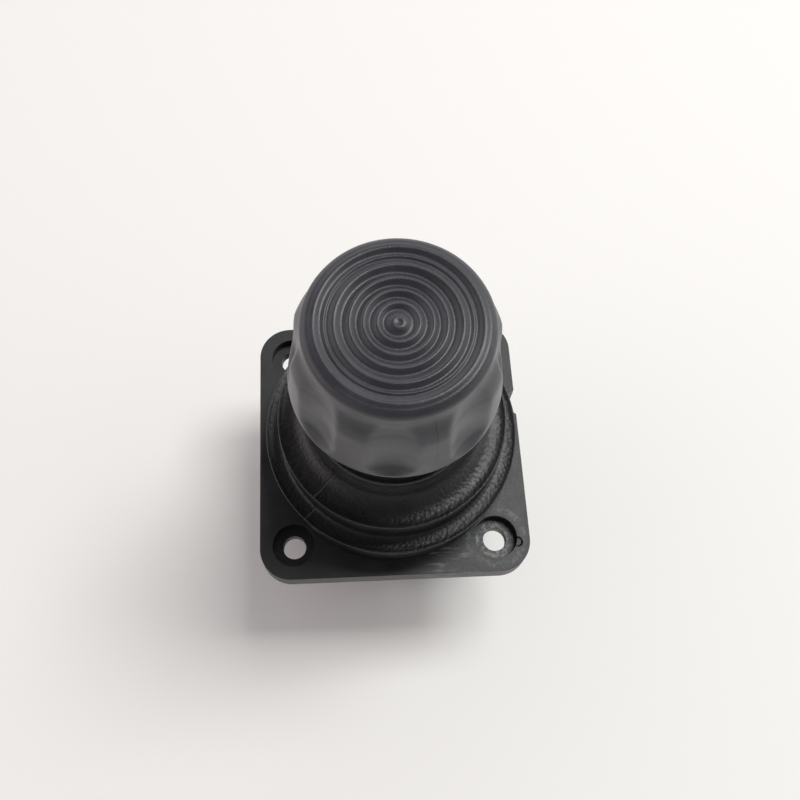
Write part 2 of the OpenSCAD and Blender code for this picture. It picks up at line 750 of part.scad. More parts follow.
// Rings moulded in the top of the grip: [radius, depth] of each crest and groove
ripple = [
    [0.65, 0], [1.9, -0.42], [2.7, 0], [3.65, -0.42], [4.5, 0], [5.35, -0.42], [6.3, 0],
    [7.14, -0.42], [8.2, 0], [9.22, -0.42], [9.64, -0.2], [10.07, -0.32], [11.05, 0]];
top_z = kz + knob_h;
function ease(t) = (1 - cos(180 * t)) / 2;
function ripple_pts() = [for (i = [len(ripple) - 1:-1:1], k = [0:3])
    let (a = ripple[i], b = ripple[i - 1])
    [(a[0] + (b[0] - a[0]) * k / 4) * knob_top_r / 12.8,
        top_z + a[1] + (b[1] - a[1]) * ease(k / 4)]];

// Profiles as [share of the flare from top edge to rim, share of the knob's height]
ridge = [[1, 0.034], [0.92, 0.205], [0.84, 0.375], [0.78, 0.489], [0.68, 0.591], [0.48, 0.67],
    [0.2, 0.75], [0.06, 0.807], [0.02, 0.864], [0, 0.915]];
floor_line = [[1.1, 0.03], [0.96, 0.045], [0.72, 0.09], [0.44, 0.165], [0.36, 0.26],
    [0.32, 0.432], [0.2, 0.574], [0.02, 0.73], [0, 0.78], [0.04, 0.86], [0.2, 0.9]];
function flare(p) = [knob_top_r + (knob_rim_r - knob_top_r) * p[0], kz + knob_h * p[1]];

// Tool for one finger dimple: a waisted upright bar beside the knob
module dimple_cut() {
    c = knob_top_r + (knob_rim_r - knob_top_r) * 0.32 + dimple_bar;
    line = [for (p = floor_line) flare(p)];
    translate([c, 0, 0]) rotate_extrude($fn = 64) polygon(concat(
        [[0, line[0][1]]], [for (q = line) [c - q[0], q[1]]],
        [[0, line[len(line) - 1][1]]]));
}

module knob_grip() {
    color(c_knob) difference() {
        rotate_extrude($fn = 96) polygon(concat(
            [[core_r + 0.02, base_z], [knob_rim_r - 0.5, kz], [knob_rim_r - 0.1, kz + 0.1]],
            [for (p = ridge) flare(p)],
            [[knob_top_r - 0.2, top_z - 0.85], [knob_top_r - 0.6, top_z - 0.4],
            [knob_top_r - 1.1, top_z - 0.15]],
            ripple_pts(),
            [[0.65, top_z], [0, top_z], [0, core_top], [core_r + 0.02, core_top]]));
        for (k = [0:dimples - 1]) rotate([0, 0, -95.3 + 360 * k / dimples]) dimple_cut();
    }
}

top_housing();
boot_retaining_ring();
boot_ring_screws();
rubber_boot();
bottom_cover();
cover_screws();
x_bushes();
y_bushes();
pot_x_plate();
pot_x_can();
pot_x_element();
pot_x_terminals();
pot_y_plate();
pot_y_can();
pot_y_element();
pot_y_terminals();
pot_screws();
x_return_spring();
y_return_spring();
gimbal_ring();
x_shaft_pot();
x_shaft_spring();
x_spring_arm();
x_arm_screw();
pot_x_rotor();
y_bail();
y_shaft_pot();
y_shaft_spring();
y_spring_arm();
y_arm_screw();
pot_y_rotor();
lever_hub();
lever_tube();
cross_pin();
knob_carrier();
carrier_set_screw();
twist_pot();
twist_return_spring();
knob_core();
knob_base_plate();
knob_plate_screws();
knob_grip();
knob_screw();
twist_pot_shaft();
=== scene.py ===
"""Looks of the two-axis joystick: knob skin, springs, boot, softened parts, materials and light.

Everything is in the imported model's frame: metres, +Z up the stick, front is -Y. The flange's
underside is at height 0.
"""
import json
import math

import bpy
import bmesh
from mathutils import Matrix, Vector


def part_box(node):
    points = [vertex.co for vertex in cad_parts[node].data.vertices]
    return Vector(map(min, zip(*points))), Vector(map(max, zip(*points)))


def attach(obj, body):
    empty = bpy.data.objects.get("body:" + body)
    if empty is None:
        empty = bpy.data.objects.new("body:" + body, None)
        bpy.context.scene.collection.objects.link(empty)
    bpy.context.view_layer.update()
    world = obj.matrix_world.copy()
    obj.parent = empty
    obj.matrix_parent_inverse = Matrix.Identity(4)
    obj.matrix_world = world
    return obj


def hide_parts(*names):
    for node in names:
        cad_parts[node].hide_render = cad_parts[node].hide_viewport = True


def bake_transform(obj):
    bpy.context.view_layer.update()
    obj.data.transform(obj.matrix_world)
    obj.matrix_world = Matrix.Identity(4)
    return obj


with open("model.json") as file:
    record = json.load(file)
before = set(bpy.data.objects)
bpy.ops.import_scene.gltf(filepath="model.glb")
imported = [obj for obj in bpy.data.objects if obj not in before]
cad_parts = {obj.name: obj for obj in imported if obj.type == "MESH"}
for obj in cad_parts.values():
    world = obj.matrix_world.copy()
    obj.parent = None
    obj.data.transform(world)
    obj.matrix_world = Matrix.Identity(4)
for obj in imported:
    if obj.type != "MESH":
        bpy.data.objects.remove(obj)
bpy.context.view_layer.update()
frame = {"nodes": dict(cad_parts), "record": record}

MM = 0.001
SAME_PLACE = 1e-6       # points closer than this are one point
FROM_MIDDLE = -1        # inner edge of a band that has none
nodes = frame["nodes"]

# ---------------------------------------------------------------- sizes, millimetres
flange_top = 4.0
rim_above_flange = 32.4
knob_height = 17.6
hole_pitch = 33.3
pivot_z = -11.0                 # both tilt axes
rim_z = flange_top + rim_above_flange
knob_top_z = rim_z + knob_height
table_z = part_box("bottom_cover")[0].z / MM


# ---------------------------------------------------------------- colour and node helpers
def srgb(code):
    """Linear RGBA from an sRGB hex colour."""
    code = code.lstrip("#")
    parts = [int(code[i:i + 2], 16) / 255 for i in (0, 2, 4)]
    return tuple(c / 12.92 if c <= 0.04045 else ((c + 0.055) / 1.055) ** 2.4 for c in parts) + (1.0,)


def add_node(tree, kind, settings=None, inputs=None):
    """Adds one node with its properties, socket values and incoming links."""
    node = tree.nodes.new(kind)
    for name, value in (settings or {}).items():
        setattr(node, name, value)
    for key, value in (inputs or {}).items():
        if isinstance(value, bpy.types.NodeSocket):
            tree.links.new(value, node.inputs[key])
        else:
            node.inputs[key].default_value = value
    return node


def start_material(name):
    """An empty material with an output, a Principled surface and object coordinates."""
    material = bpy.data.materials.new(name)
    material.use_nodes = True
    tree = material.node_tree
    tree.nodes.clear()
    surface = add_node(tree, "ShaderNodeBsdfPrincipled")
    add_node(tree, "ShaderNodeOutputMaterial", inputs={"Surface": surface.outputs["BSDF"]})
    coords = add_node(tree, "ShaderNodeTexCoord")
    return material, tree, surface, coords.outputs["Object"]


def ramp(tree, factor, stops):
    """A colour ramp fed by a factor; stops are (position, colour)."""
    node = add_node(tree, "ShaderNodeValToRGB", inputs={"Fac": factor})
    elements = node.color_ramp.elements
    while len(elements) < len(stops):
        elements.new(0.5)
    for element, (place, colour) in zip(elements, stops):
        element.position = place
        element.color = colour
    return node.outputs["Color"]


def bump(tree, surface, height, distance, strength=1.0, normal=None):
    """Feeds a height, distance in metres, to the surface's normal and returns the bump's output."""
    inputs = {"Height": height, "Distance": distance, "Strength": strength}
    if normal is not None:
        inputs["Normal"] = normal
    node = add_node(tree, "ShaderNodeBump", inputs=inputs)
    tree.links.new(node.outputs["Normal"], surface.inputs["Normal"])
    return node.outputs["Normal"]


# ---------------------------------------------------------------- materials
def moulded_polymer(name, low, high, roughness, grain_mm, grain_depth, pebble_mm=0, pebble_depth=0):
    """Moulded polymer: cloudiness from the melt flow, a fine spark-eroded grain and, where the
    mould is coarser, a pebbled skin whose high spots catch the light."""
    cloud_mm = 5
    material, tree, surface, coords = start_material(name)
    cloud = add_node(tree, "ShaderNodeTexNoise", inputs={
        "Vector": coords, "Scale": 1 / (cloud_mm * MM), "Detail": 4.0, "Roughness": 0.6})
    colour = ramp(tree, cloud.outputs["Fac"], [(0.35, srgb(low)), (0.65, srgb(high))])
    tree.links.new(colour, surface.inputs["Base Color"])
    grain = add_node(tree, "ShaderNodeTexNoise", inputs={
        "Vector": coords, "Scale": 1 / (grain_mm * MM), "Detail": 2.0, "Roughness": 0.5})
    shine = add_node(tree, "ShaderNodeMapRange", inputs={
        "Value": cloud.outputs["Fac"], "From Min": 0.3, "From Max": 0.7,
        "To Min": roughness - 0.04, "To Max": roughness + 0.05})
    tree.links.new(shine.outputs["Result"], surface.inputs["Roughness"])
    normal = bump(tree, surface, grain.outputs["Fac"], grain_depth * MM, 0.6)
    if pebble_mm:
        pebble = add_node(tree, "ShaderNodeTexVoronoi", {"feature": "SMOOTH_F1"}, {
            "Vector": coords, "Scale": 1 / (pebble_mm * MM), "Smoothness": 0.6})
        normal = bump(tree, surface, pebble.outputs["Distance"], pebble_depth * MM, 0.6, normal)
    surface.inputs["IOR"].default_value = 1.5
    return material, tree, surface, coords, colour, normal


def turned_metal(name, colour, roughness):
    """Machined metal: level tool marks about 2 mm long, one every 0.15 mm of height."""
    mark_mm = 2
    marks_in_mark = 14.0
    groove_shade = 0.82
    material, tree, surface, coords = start_material(name)
    mapping = add_node(tree, "ShaderNodeMapping", inputs={
        "Vector": coords, "Scale": (1.0, 1.0, marks_in_mark)})
    marks = add_node(tree, "ShaderNodeTexNoise", inputs={
        "Vector": mapping.outputs["Vector"], "Scale": 1 / (mark_mm * MM), "Detail": 2.0})
    groove = tuple(c * groove_shade for c in srgb(colour)[:3]) + (1,)
    tree.links.new(ramp(tree, marks.outputs["Fac"], [(0.3, groove), (0.7, srgb(colour))]),
                   surface.inputs["Base Color"])
    surface.inputs["Metallic"].default_value = 1.0
    shine = add_node(tree, "ShaderNodeMapRange", inputs={
        "Value": marks.outputs["Fac"], "From Min": 0.3, "From Max": 0.7,
        "To Min": roughness - 0.06, "To Max": roughness + 0.08})
    tree.links.new(shine.outputs["Result"], surface.inputs["Roughness"])
    bump(tree, surface, marks.outputs["Fac"], 0.01 * MM, 0.5)
    return material


def distance_from(tree, coords, centre, flat=True):
    """Distance in metres from an upright line, or from a point, given in millimetres."""
    offset = add_node(tree, "ShaderNodeVectorMath", {"operation": "SUBTRACT"}, {
        0: coords, 1: tuple(c * MM for c in centre)})
    scaled = add_node(tree, "ShaderNodeVectorMath", {"operation": "MULTIPLY"}, {
        0: offset.outputs["Vector"], 1: (1, 1, 0 if flat else 1)})
    return add_node(tree, "ShaderNodeVectorMath", {"operation": "LENGTH"}, {
        0: scaled.outputs["Vector"]}).outputs["Value"]


def multiply(tree, a, b):
    """The product of two values or outputs."""
    return add_node(tree, "ShaderNodeMath", {"operation": "MULTIPLY"}, {0: a, 1: b}).outputs[0]


def band(tree, value, inner, outer, soft):
    """1 between two values in millimetres, falling to 0 over a soft width."""
    rise = add_node(tree, "ShaderNodeMapRange", {"interpolation_type": "SMOOTHSTEP"}, {
        "Value": value, "From Min": (inner - soft) * MM, "From Max": inner * MM})
    fall = add_node(tree, "ShaderNodeMapRange", {"interpolation_type": "SMOOTHSTEP"}, {
        "Value": value, "From Min": outer * MM, "From Max": (outer + soft) * MM,
        "To Min": 1.0, "To Max": 0.0})
    return multiply(tree, rise.outputs["Result"], fall.outputs["Result"])


def paint(tree, surface, colour, mask, code):
    """Lays a plain colour over the surface's colour where the mask is high."""
    mix = add_node(tree, "ShaderNodeMix", {"data_type": "RGBA"})
    tree.links.new(mask, mix.inputs["Factor"])
    tree.links.new(colour, mix.inputs[6])
    mix.inputs[7].default_value = srgb(code)
    tree.links.new(mix.outputs[2], surface.inputs["Base Color"])
    return mix.outputs[2]


def seam(tree, coords, angle, half_width, soft):
    """A line in the upright plane at an angle round the stick, and the coordinates turned to it."""
    turned = add_node(tree, "ShaderNodeMapping", {"vector_type": "TEXTURE"}, {
        "Vector": coords, "Rotation": (0, 0, math.radians(angle + 90))})
    across = add_node(tree, "ShaderNodeSeparateXYZ", inputs={"Vector": turned.outputs["Vector"]})
    distance = add_node(tree, "ShaderNodeMath", {"operation": "ABSOLUTE"}, {
        0: across.outputs["X"]}).outputs[0]
    return band(tree, distance, FROM_MIDDLE, half_width, soft), across.outputs


# Soft-touch rubber, moulded in two halves: a fine dry grain, and a hairline where the halves met
grip_rubber, tree, surface, coords, colour, normal = moulded_polymer(
    "moulded_soft_touch_rubber_grip", "2a2a30", "35353c", 0.36, 0.28, 0.035)
hairline, across = seam(tree, coords, -72, 0.03, 0.07)
below_shoulder = add_node(tree, "ShaderNodeMapRange", inputs={
    "Value": across["Z"],
    "From Min": (knob_top_z - 2) * MM, "From Max": (knob_top_z - 3) * MM})
paint(tree, surface, colour, multiply(tree, hairline, below_shoulder.outputs["Result"]), "0d0d0f")

# Neoprene bellows: darker, with a pebbled skin and one radial flash line left by the mould
boot_rubber, tree, surface, coords, colour, normal = moulded_polymer(
    "moulded_neoprene_boot", "121214", "1b1b1e", 0.40, 0.3, 0.03, 0.55, 0.09)
flash, across = seam(tree, coords, -135, 0.05, 0.12)
front_half = add_node(tree, "ShaderNodeMapRange", inputs={
    "Value": across["Y"], "From Min": 0.0, "From Max": -2 * MM})
flash = multiply(tree, flash, front_half.outputs["Result"])
paint(tree, surface, colour, flash, "060607")
bump(tree, surface, flash, -0.08 * MM, 0.8, normal)

# Glass-filled nylon: grey bloom and streaks where it is rubbed, a pale ring round a hole, a painted
# highlight ring at its counterbore's edge, and a chip darkened by painted shade
housing_nylon, tree, surface, coords, colour, normal = moulded_polymer(
    "moulded_glass_filled_nylon_housing", "1a1a1c", "242427", 0.43, 0.25, 0.03)
patchy_noise = add_node(tree, "ShaderNodeTexNoise", inputs={
    "Vector": coords, "Scale": 1 / (0.7 * MM), "Detail": 5.0, "Roughness": 0.7})
broken = add_node(tree, "ShaderNodeMapRange", {"interpolation_type": "SMOOTHSTEP"}, {
    "Value": patchy_noise.outputs["Fac"], "From Min": 0.42, "From Max": 0.68})
from_hole = distance_from(tree, coords, (hole_pitch / 2, -hole_pitch / 2, 0))
seat_ring = multiply(tree, band(tree, from_hole, 2.0, 3.0, 0.3), broken.outputs["Result"])
colour = paint(tree, surface, colour, seat_ring, "85878a")
# Pale ring along the counterbore's edge: a painted highlight, broken up by the noise
counterbore_edge_highlight = multiply(tree, band(tree, from_hole, 4.3, 4.9, 0.4), broken.outputs["Result"])
colour = paint(tree, surface, colour, counterbore_edge_highlight, "55575b")
along = add_node(tree, "ShaderNodeMapping", inputs={"Vector": coords, "Scale": (0.12, 1.0, 1.0)})
streaks = add_node(tree, "ShaderNodeTexNoise", inputs={
    "Vector": along.outputs["Vector"], "Scale": 1 / (0.5 * MM), "Detail": 4.0})
streak_marks = add_node(tree, "ShaderNodeMapRange", {"interpolation_type": "SMOOTHSTEP"}, {
    "Value": streaks.outputs["Fac"], "From Min": 0.52, "From Max": 0.7})
from_rub = distance_from(tree, coords, (9.5, -19.6, 0))
rub = multiply(tree, band(tree, from_rub, FROM_MIDDLE, 2.5, 5.0), streak_marks.outputs["Result"])
colour = paint(tree, surface, colour, rub, "606266")
# A chip at the counterbore's edge: the bump below dents it, and its near-black colour is painted
# shade inside it
from_shaded_chip = distance_from(tree, coords, (20.2, -17.6, flange_top), flat=False)
chip_and_painted_shade = band(tree, from_shaded_chip, FROM_MIDDLE, 0.55, 0.35)
paint(tree, surface, colour, chip_and_painted_shade, "050506")
normal = bump(tree, surface, broken.outputs["Result"], 0.02 * MM, 0.4, normal)
bump(tree, surface, chip_and_painted_shade, -0.5 * MM, 1.0, normal)

# Parts with a plain moulded or pressed skin: only a slight cloudiness and a faint grain
core_nylon = moulded_polymer(
    "moulded_black_nylon_core", "1c1c1f", "242428", 0.5, 0.2, 0.01)[0]
sensor_phenolic = moulded_polymer(
    "moulded_black_phenolic_plate", "191614", "26211e", 0.4, 0.3, 0.01)[0]
sensor_shell = moulded_polymer(
    "moulded_grey_sensor_shell", "3c4042", "4b5052", 0.4, 0.25, 0.01)[0]
sensor_ceramic = moulded_polymer(
    "pressed_white_ceramic", "cfcdc4", "dedcd3", 0.5, 0.3, 0.01)[0]

# Metals: bright and cool where plated or turned, darker where drawn to wire, warm in the brass
zinc_steel = turned_metal("zinc_plated_steel_screws", "b9bcc0", 0.35)
machined_steel = turned_metal("turned_stainless_steel", "a9acb0", 0.3)
spring_steel = turned_metal("drawn_spring_steel_wire", "8f9296", 0.32)
bush_brass = turned_metal("turned_brass_bushes", "c79f55", 0.33)
terminal_brass = turned_metal("tinned_brass_terminals", "c9c4b4", 0.35)

finish_of_slot = {
    "housing_nylon": housing_nylon, "boot_rubber": boot_rubber, "knob_rubber": grip_rubber,
    "core_nylon": core_nylon, "zinc_steel": zinc_steel, "machined_steel": machined_steel,
    "spring_steel": spring_steel, "bush_brass": bush_brass, "terminal_brass": terminal_brass,
    "sensor_black": sensor_phenolic, "sensor_grey": sensor_shell, "sensor_white": sensor_ceramic,
}
slot_of_node = {row["node"]: row["material_slot"] for row in frame["record"]["subparts"]}
for name, part in nodes.items():
    part.data.materials.clear()
    part.data.materials.append(finish_of_slot[slot_of_node[name]])


# ---------------------------------------------------------------- meshes
def new_piece(name, vertices, faces, material):
    """A smooth-shaded mesh object from points in millimetres."""
    mesh = bpy.data.meshes.new(name)
    mesh.from_pydata([(x * MM, y * MM, z * MM) for x, y, z in vertices], [], faces)
    mesh.validate()
    work = bmesh.new()
    work.from_mesh(mesh)
    bmesh.ops.recalc_face_normals(work, faces=work.faces)
    work.to_mesh(mesh)
    work.free()
    for polygon in mesh.polygons:
        polygon.use_smooth = True
    mesh.materials.append(material)
    piece = bpy.data.objects.new(name, mesh)
    bpy.context.scene.collection.objects.link(piece)
    return piece


def loops_to_mesh(loops):
    """Joins rings of points, each all round the axis, and closes a ring of radius 0 into a pole."""
    vertices, faces, starts = [], [], []
    around = len(loops[0])
    for loop in loops:
        pole = all(math.hypot(p[0], p[1]) < SAME_PLACE for p in loop)
        starts.append((len(vertices), pole))
        vertices.extend(loop[:1] if pole else loop)
    for (a, pole_a), (b, pole_b) in zip(starts, starts[1:] + starts[:1]):
        for k in range(around):
            n = (k + 1) % around
            if pole_a and pole_b:
                continue
            if pole_a:
                faces.append((a, b + n, b + k))
            elif pole_b:
                faces.append((a + k, a + n, b))
            else:
                faces.append((a + k, a + n, b + n, b + k))
    return vertices, faces


# ---------------------------------------------------------------- geometry trees
def geometry_tree(name, numbers):
    """A geometry tree with a Geometry input and output and named number inputs."""
    tree = bpy.data.node_groups.new(name, "GeometryNodeTree")
    tree.interface.new_socket("Geometry", in_out="INPUT", socket_type="NodeSocketGeometry")
    for label, value in numbers.items():
        kind = "NodeSocketInt" if isinstance(value, int) else "NodeSocketFloat"
        tree.interface.new_socket(label, in_out="INPUT", socket_type=kind).default_value = value
    tree.interface.new_socket("Material", in_out="INPUT", socket_type="NodeSocketMaterial")
    tree.interface.new_socket("Geometry", in_out="OUTPUT", socket_type="NodeSocketGeometry")
    return tree, add_node(tree, "NodeGroupInput").outputs


def close_tree(tree, geometry, material):
    """Ends a tree in Realize Instances and Set Material."""
    whole = add_node(tree, "GeometryNodeRealizeInstances", inputs={"Geometry": geometry})
    coated = add_node(tree, "GeometryNodeSetMaterial", inputs={
        "Geometry": whole.outputs["Geometry"], "Material": material})
    add_node(tree, "NodeGroupOutput", inputs={"Geometry": coated.outputs["Geometry"]})


def run_tree(piece, tree, material, numbers=None):
    """Runs a geometry tree on a piece and keeps the result as its plain mesh."""
    step = piece.modifiers.new(tree.name, "NODES")
    step.node_group = tree
    for item in tree.interface.items_tree:
        if item.in_out == "INPUT" and item.name in (numbers or {}):
            step[item.identifier] = numbers[item.name]
        if item.in_out == "INPUT" and item.name == "Material":
            step[item.identifier] = material
    depsgraph = bpy.context.evaluated_depsgraph_get()
    depsgraph.update()
    mesh = bpy.data.meshes.new_from_object(piece.evaluated_get(depsgraph))
    piece.modifiers.clear()
    piece.data = mesh


def calculator(tree):
    """A function that adds a Math node to the tree and returns its output."""
    def maths(operation, a, b=0.0, c=0.0):
        return add_node(tree, "ShaderNodeMath", {"operation": operation},
                        {0: a, 1: b, 2: c}).outputs[0]
    return maths


# ---- knob skin: a flared sleeve with rings in its top, then eight finger dimples pressed round it
core_radius = 11.2
bore_radius = core_radius + 0.05
bore_depth = 15.05
knob_facets = 360
points_on_slope = 6         # between a crest and the next groove
ring_marks = [  # radius, and height over the knob's top, of each crest and groove
    (0.0, -0.12), (0.65, 0.0), (1.9, -0.5), (2.7, -0.02), (3.65, -0.5), (4.5, 0.0), (5.35, -0.5),
    (6.3, 0.0), (7.2, -0.5), (8.3, 0.0), (9.22, -0.42), (9.6, -0.25), (10.0, -0.38), (10.95, 0.02),
    (11.9, -0.22)]
rim_marks = [  # radius, and height over the knob's lower edge
    (bore_radius, 0.6), (14.7, 0.03), (15.05, 0.0), (15.24, 0.1), (15.3, 0.3)]
shoulder_marks = [(12.3, -0.5), (12.6, -0.85), (12.76, -1.25), (12.8, -1.7)]
ridge_marks = [  # height above the flange and radius, of the ridges between the dimples
    (33.0, 15.3), (36.0, 15.12), (39.0, 14.9), (41.0, 14.75), (42.8, 14.5), (44.2, 14.0),
    (45.6, 13.32), (46.6, 12.95), (47.6, 12.83), (48.3, 12.8)]
dimple_marks = [  # the same for the floor of the dimples
    (32.9, 15.7), (33.25, 15.2), (34.0, 14.6), (35.3, 13.95), (37.0, 13.7), (40.0, 13.55),
    (42.5, 13.25), (44.6, 12.85), (46.0, 12.72), (47.2, 12.95), (48.0, 13.4)]


def ease(t):
    """0 to 1 with a level start and end."""
    return (1 - math.cos(math.pi * t)) / 2


def smooth_profile(points, step):
    """Catmull-Rom curve through profile points, one point about every step millimetres."""
    out = []
    for i in range(len(points) - 1):
        p0, p1 = points[max(i - 1, 0)], points[i]
        p2, p3 = points[i + 1], points[min(i + 2, len(points) - 1)]
        count = max(1, round(math.dist(p1, p2) / step))
        for k in range(count):
            t = k / count
            out.append(tuple(0.5 * (2 * b + (c - a) * t + (2 * a - 5 * b + 4 * c - d) * t * t
                                    + (3 * b - a - 3 * c + d) * t ** 3)
                             for a, b, c, d in zip(p0, p1, p2, p3)))
    out.append(points[-1])
    return out


def revolve(profile, around, lift=0.0):
    """Rings of points round the stick for a profile of radii and heights."""
    angles = [2 * math.pi * k / around for k in range(around)]
    return [[(r * math.cos(a), r * math.sin(a), lift + h) for a in angles] for r, h in profile]


rings = []
for (r1, h1), (r0, h0) in zip(reversed(ring_marks[1:]), reversed(ring_marks[:-1])):
    rings += [(r1 + (r0 - r1) * k / points_on_slope,
               knob_top_z + h1 + (h0 - h1) * ease(k / points_on_slope))
              for k in range(points_on_slope)]
sleeve = ([(r, rim_z + h) for r, h in rim_marks]
          + smooth_profile([(r, flange_top + h) for h, r in ridge_marks], 0.2)
          + [(r, knob_top_z + h) for r, h in reversed(shoulder_marks[:-1])] + rings
          + [(0.0, knob_top_z + ring_marks[0][1]), (0.0, rim_z + bore_depth),
             (bore_radius, rim_z + bore_depth)])

# Each dimple is the mark of an upright round bar, waisted as dimple_marks says
dimple_inputs = {"Dimples": 8, "First dimple": math.radians(-95.3), "Bar radius": 7.0 * MM,
                 "Softness": 0.9 * MM}
floor_at_bar_radius = 13.55     # the floor's radius where the bar has its full radius
curve_low, curve_span = 12, 4   # the radii that the floor's curve draws as 0 to 1
side_inside = 12.0              # only the skin outside this radius is pressed
dimple_tree, given = geometry_tree("press_finger_dimples", dimple_inputs)
maths = calculator(dimple_tree)

low_z, high_z = dimple_marks[0][0] + flange_top, dimple_marks[-1][0] + flange_top
place = add_node(dimple_tree, "ShaderNodeSeparateXYZ", inputs={
    0: add_node(dimple_tree, "GeometryNodeInputPosition").outputs[0]})
x, y, z = place.outputs
radius = maths("SQRT", maths("ADD", maths("MULTIPLY", x, x), maths("MULTIPLY", y, y)))
share = maths("DIVIDE", maths("SUBTRACT", z, low_z * MM), (high_z - low_z) * MM)
floor_curve = add_node(dimple_tree, "ShaderNodeFloatCurve", inputs={"Value": share})
points = floor_curve.mapping.curves[0].points
while len(points) < len(dimple_marks):
    points.new(0.5, 0.5)
for point, (h, r) in zip(points, dimple_marks):
    point.location = ((h + flange_top - low_z) / (high_z - low_z), (r - curve_low) / curve_span)
floor_curve.mapping.update()
floor_radius = maths("MULTIPLY_ADD", floor_curve.outputs[0], curve_span * MM, curve_low * MM)
bar_centre = maths("ADD", given["Bar radius"], floor_at_bar_radius * MM)
bar = maths("SUBTRACT", bar_centre, floor_radius)
turn = maths("DIVIDE", 2 * math.pi, given["Dimples"])
half_turn = maths("MULTIPLY", turn, 0.5)
from_first = maths("SUBTRACT", maths("ARCTAN2", y, x), given["First dimple"])
away = maths("SUBTRACT", maths("FLOORED_MODULO", maths("ADD", from_first, half_turn), turn),
             half_turn)
aside = maths("MULTIPLY", bar_centre, maths("SINE", away))
inside = maths("MAXIMUM", maths("SUBTRACT", maths("MULTIPLY", bar, bar),
                                maths("MULTIPLY", aside, aside)), 0.0)
pressed = maths("SUBTRACT", maths("MULTIPLY", bar_centre, maths("COSINE", away)),
                maths("SQRT", inside))
shrink = maths("DIVIDE", maths("SMOOTH_MIN", radius, pressed, given["Softness"]), radius)
moved = add_node(dimple_tree, "ShaderNodeCombineXYZ", inputs={
    "X": maths("MULTIPLY", x, shrink), "Y": maths("MULTIPLY", y, shrink), "Z": z})
on_side = maths("MULTIPLY", maths("MULTIPLY", maths("GREATER_THAN", share, 0.0),
                                  maths("LESS_THAN", share, 1.0)),
                maths("GREATER_THAN", radius, side_inside * MM))
set_place = add_node(dimple_tree, "GeometryNodeSetPosition", inputs={
    "Geometry": given["Geometry"], "Selection": on_side, "Position": moved.outputs[0]})
close_tree(dimple_tree, set_place.outputs[0], given["Material"])

grip = new_piece("knob_skin", *loops_to_mesh(revolve(sleeve, knob_facets)), grip_rubber)
run_tree(grip, dimple_tree, grip_rubber)
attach(grip, "knob")
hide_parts("knob_grip")


# ---- return springs: two and a half turns of wire with both legs hanging down
spring_inputs = {"Coil radius": 4.0 * MM, "Wire radius": 0.4 * MM, "Lead": 0.9 * MM, "Turns": 2.5,
                 "Start": 14.05 * MM, "Leg": 10.79 * MM, "Side": 0.0, "Axis height": pivot_z * MM}
spring_tree, given = geometry_tree("wind_return_spring", spring_inputs)
maths = calculator(spring_tree)

line = add_node(spring_tree, "GeometryNodeCurvePrimitiveLine")
even = add_node(spring_tree, "GeometryNodeResampleCurve", inputs={
    "Curve": line.outputs[0], "Count": 220})
along = add_node(spring_tree, "GeometryNodeSplineParameter").outputs["Factor"]
leg_turn = maths("DIVIDE", given["Leg"], given["Coil radius"])
total = maths("MULTIPLY", given["Turns"], 2 * math.pi)
with_legs = maths("MULTIPLY_ADD", leg_turn, 2.0, total)
wound = maths("SUBTRACT", maths("MULTIPLY", along, with_legs), leg_turn)
coiled = maths("MINIMUM", maths("MAXIMUM", wound, 0.0), total)
straight = maths("ABSOLUTE", maths("SUBTRACT", wound, coiled))
phase = maths("SUBTRACT", math.pi, coiled)
turns_made = maths("DIVIDE", coiled, 2 * math.pi)
height = maths("SUBTRACT", maths("SINE", phase), straight)
spring_place = add_node(spring_tree, "ShaderNodeCombineXYZ", inputs={
    "X": maths("MULTIPLY_ADD", given["Lead"], turns_made, given["Start"]),
    "Y": maths("MULTIPLY", given["Coil radius"], maths("COSINE", phase)),
    "Z": maths("MULTIPLY", given["Coil radius"], height)})
bent = add_node(spring_tree, "GeometryNodeSetPosition", inputs={
    "Geometry": even.outputs[0], "Position": spring_place.outputs[0]})
section = add_node(spring_tree, "GeometryNodeCurvePrimitiveCircle", inputs={
    "Resolution": 20, "Radius": given["Wire radius"]})
wire = add_node(spring_tree, "GeometryNodeCurveToMesh", inputs={
    "Curve": bent.outputs[0], "Profile Curve": section.outputs[0], "Fill Caps": True})
side_turn = add_node(spring_tree, "ShaderNodeCombineXYZ", inputs={"Z": given["Side"]})
axis_lift = add_node(spring_tree, "ShaderNodeCombineXYZ", inputs={"Z": given["Axis height"]})
seated = add_node(spring_tree, "GeometryNodeTransform", inputs={
    "Geometry": wire.outputs[0],
    "Rotation": side_turn.outputs[0], "Translation": axis_lift.outputs[0]})
close_tree(spring_tree, seated.outputs[0], given["Material"])

for axis_name, side_angle in (("x", 0.0), ("y", -math.pi / 2)):
    coil = new_piece(axis_name + "_spring_wire", [(0, 0, 0)], [], spring_steel)
    run_tree(coil, spring_tree, spring_steel, {"Side": side_angle})
    for polygon in coil.data.polygons:
        polygon.use_smooth = len(polygon.vertices) == 4     # the wire's two cut ends stay flat
    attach(coil, "base")
    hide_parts(axis_name + "_return_spring")


